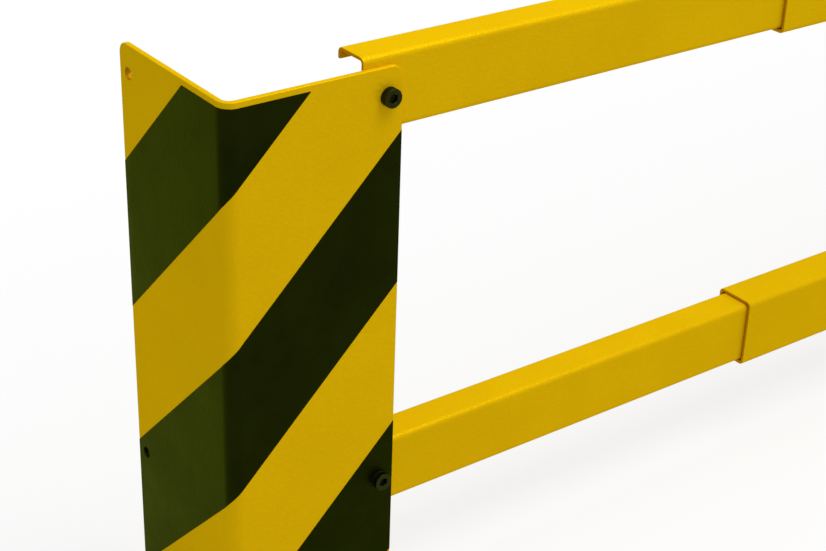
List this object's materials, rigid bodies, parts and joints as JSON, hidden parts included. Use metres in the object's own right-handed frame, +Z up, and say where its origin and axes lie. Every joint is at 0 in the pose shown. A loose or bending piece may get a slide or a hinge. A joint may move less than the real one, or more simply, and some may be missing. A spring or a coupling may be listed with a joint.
{
  "type": "rack end guard",
  "caption": "Folded corner guards with hazard bands, joined by telescopic lipped-channel rails, bolted down around the end of a storage rack.",
  "frame": {"origin": "on the floor, in the middle of the width and depth of the whole guard", "axes": "+X to the right along the rails, +Y to the back, towards the rack, +Z up"},
  "size_m": [1.3004, 0.171, 0.5128],
  "materials": {
    "yellow_powder_coat": "textured satin powder coat",
    "black_film": "self-adhesive vinyl film, satin",
    "blackened_steel": "black oxide, oiled",
    "zinc_plated_steel": "bright zinc plating"
  },
  "bodies": {
    "left_half": {"left_corner_guard": "yellow_powder_coat", "left_base_plate": "yellow_powder_coat", "left_upper_hazard_band": "black_film", "left_middle_hazard_band": "black_film", "left_lower_hazard_band": "black_film", "upper_inner_rail": "yellow_powder_coat", "lower_inner_rail": "yellow_powder_coat", "left_upper_screw": "blackened_steel", "left_upper_washer": "zinc_plated_steel", "left_upper_nut": "zinc_plated_steel", "left_lower_screw": "blackened_steel", "left_lower_washer": "zinc_plated_steel", "left_lower_nut": "zinc_plated_steel"},
    "right_half": {"right_corner_guard": "yellow_powder_coat", "right_base_plate": "yellow_powder_coat", "right_upper_hazard_band": "black_film", "right_middle_hazard_band": "black_film", "right_lower_hazard_band": "black_film", "upper_outer_rail": "yellow_powder_coat", "lower_outer_rail": "yellow_powder_coat", "right_upper_screw": "blackened_steel", "right_upper_washer": "zinc_plated_steel", "right_upper_nut": "zinc_plated_steel", "right_lower_screw": "blackened_steel", "right_lower_washer": "zinc_plated_steel", "right_lower_nut": "zinc_plated_steel"}
  },
  "joints": [
    {"name": "width_adjustment", "type": "slide", "parent": "left_half", "child": "right_half", "axis": [1, 0, 0], "range_m": [-0.4, 0]}
  ]
}
